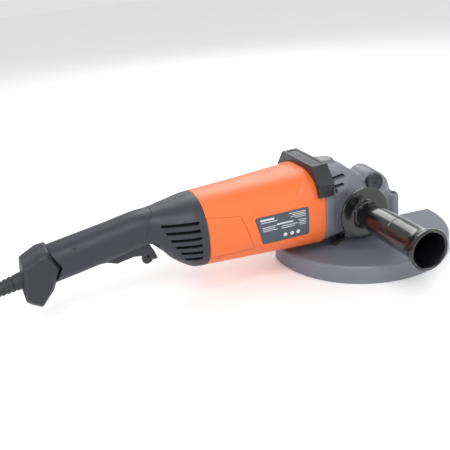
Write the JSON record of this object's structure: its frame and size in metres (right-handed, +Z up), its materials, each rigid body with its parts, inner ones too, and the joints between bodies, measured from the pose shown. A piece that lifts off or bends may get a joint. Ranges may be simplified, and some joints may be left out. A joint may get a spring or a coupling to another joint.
{
  "type": "angle grinder",
  "caption": "Large two-handed angle grinder with a bridge-shaped bumper, half guard, screw-in side handle, paddle trigger, vented rear handle and a coiled mains cord.",
  "frame": {"origin": "centre of the disc's seat on the spindle axis, the guard's rim being 14 mm lower on the bench", "axes": "+Z up along the spindle, +X forward along the motor axis from the rear handle to the gear case, -Y to the side handle"},
  "size_m": [0.8091, 0.3874, 0.143],
  "materials": {
    "orange_housing": "satin moulded, fine texture",
    "black_plastic": "fine moulded texture",
    "gear_case_grey": "painted die casting",
    "guard_grey": "satin powder coat",
    "side_handle_black": "gloss moulded",
    "label_slate": "printed film, blank",
    "steel": "turned",
    "black_steel": "blackened",
    "copper": "enamelled wire",
    "laminations": "stacked sheet",
    "brass": "turned",
    "carbon": "pressed carbon",
    "cord_rubber": "matt rubber sheath"
  },
  "bodies": {
    "root": {"motor_housing": "orange_housing", "brush_cover_left": "orange_housing", "brush_cover_right": "orange_housing", "brush_cover_screws": "black_steel", "rating_label": "label_slate", "bumper": "black_plastic", "gear_case": "gear_case_grey", "bearing_plate": "gear_case_grey", "bearing_plate_screws": "black_steel", "gear_case_screws": "black_steel", "rear_handle_left": "black_plastic", "rear_handle_right": "black_plastic", "handle_screws": "black_steel", "tail_cap_left": "black_plastic", "tail_cap_right": "black_plastic", "strain_relief": "cord_rubber", "inner_cord": "cord_rubber", "cord_clamp": "black_plastic", "cord_clamp_screws": "black_steel", "power_cord": "cord_rubber", "cord_coil": "cord_rubber", "plug_body": "black_plastic", "plug_pins": "steel", "trigger_pin": "steel", "switch_body": "black_plastic", "electronics_module": "black_plastic", "suppression_capacitor": "black_plastic", "stator_core": "laminations", "stator_windings": "copper", "air_baffle": "black_plastic", "front_bearing": "steel", "rear_bearing": "steel", "lower_bearing": "steel", "upper_bearing": "steel", "brush_holders": "brass", "carbon_brushes": "carbon", "brush_springs": "steel", "side_handle_stud": "steel", "side_handle_grip": "side_handle_black", "side_handle_end": "side_handle_black"},
    "rotor": {"motor_shaft": "steel", "armature_core": "laminations", "armature_windings": "copper", "commutator": "copper", "cooling_fan": "black_plastic", "pinion": "steel"},
    "spindle": {"spindle_shaft": "steel", "crown_gear": "steel", "inner_flange": "steel"},
    "guard": {"guard_shell": "guard_grey", "guard_collar": "guard_grey", "guard_clamp_screw": "black_steel", "guard_lever_pin": "steel"},
    "guard_lever": {"guard_lever": "black_steel"},
    "lock_button": {"lock_button": "black_plastic", "lock_pin": "steel"},
    "trigger": {"trigger": "black_plastic", "lock_off_pin": "brass"},
    "lock_off": {"lock_off_lever": "black_plastic"},
    "switch_plunger": {"switch_plunger": "black_plastic"}
  },
  "joints": [
    {"name": "rotor_spin", "type": "hinge", "parent": "root", "child": "rotor", "pos_m": [-0.15, 0, 0.069], "axis": [1, 0, 0], "continuous": true},
    {"name": "spindle_spin", "type": "hinge", "parent": "root", "child": "spindle", "pos_m": [0, 0, 0.03], "axis": [0, 0, 1], "continuous": true},
    {"name": "guard_turn", "type": "hinge", "parent": "root", "child": "guard", "pos_m": [0, 0, 0.0113], "axis": [0, 0, 1], "range_deg": [-60, 60]},
    {"name": "guard_lever_turn", "type": "hinge", "parent": "guard", "child": "guard_lever", "pos_m": [-0.04282, -0.02277, 0.013], "axis": [0, 0, 1], "range_deg": [0, 60]},
    {"name": "lock_button_slide", "type": "slide", "parent": "root", "child": "lock_button", "axis": [0, 1, 0], "range_m": [0, 0.005], "stiffness_N_per_m": 900, "springref_m": -0.002},
    {"name": "trigger_pull", "type": "hinge", "parent": "root", "child": "trigger", "pos_m": [-0.384, 0, 0.0605], "axis": [0, -1, 0], "range_deg": [0, 4.5], "stiffness_Nm_per_rad": 3, "springref_deg": -5.73},
    {"name": "lock_off_turn", "type": "hinge", "parent": "trigger", "child": "lock_off", "pos_m": [-0.3039, 0, 0.0502], "axis": [0, -1, 0], "range_deg": [0, 30], "stiffness_Nm_per_rad": 0.02, "springref_deg": -17.19},
    {"name": "plunger_slide", "type": "slide", "parent": "root", "child": "switch_plunger", "axis": [0, 0, 1], "range_m": [0, 0.0045]}
  ],
  "couplings": [
    {"joint": "spindle_spin", "follows": "rotor_spin", "ratio": -0.33333},
    {"joint": "plunger_slide", "follows": "trigger_pull", "m_per_rad": 0.05475}
  ]
}
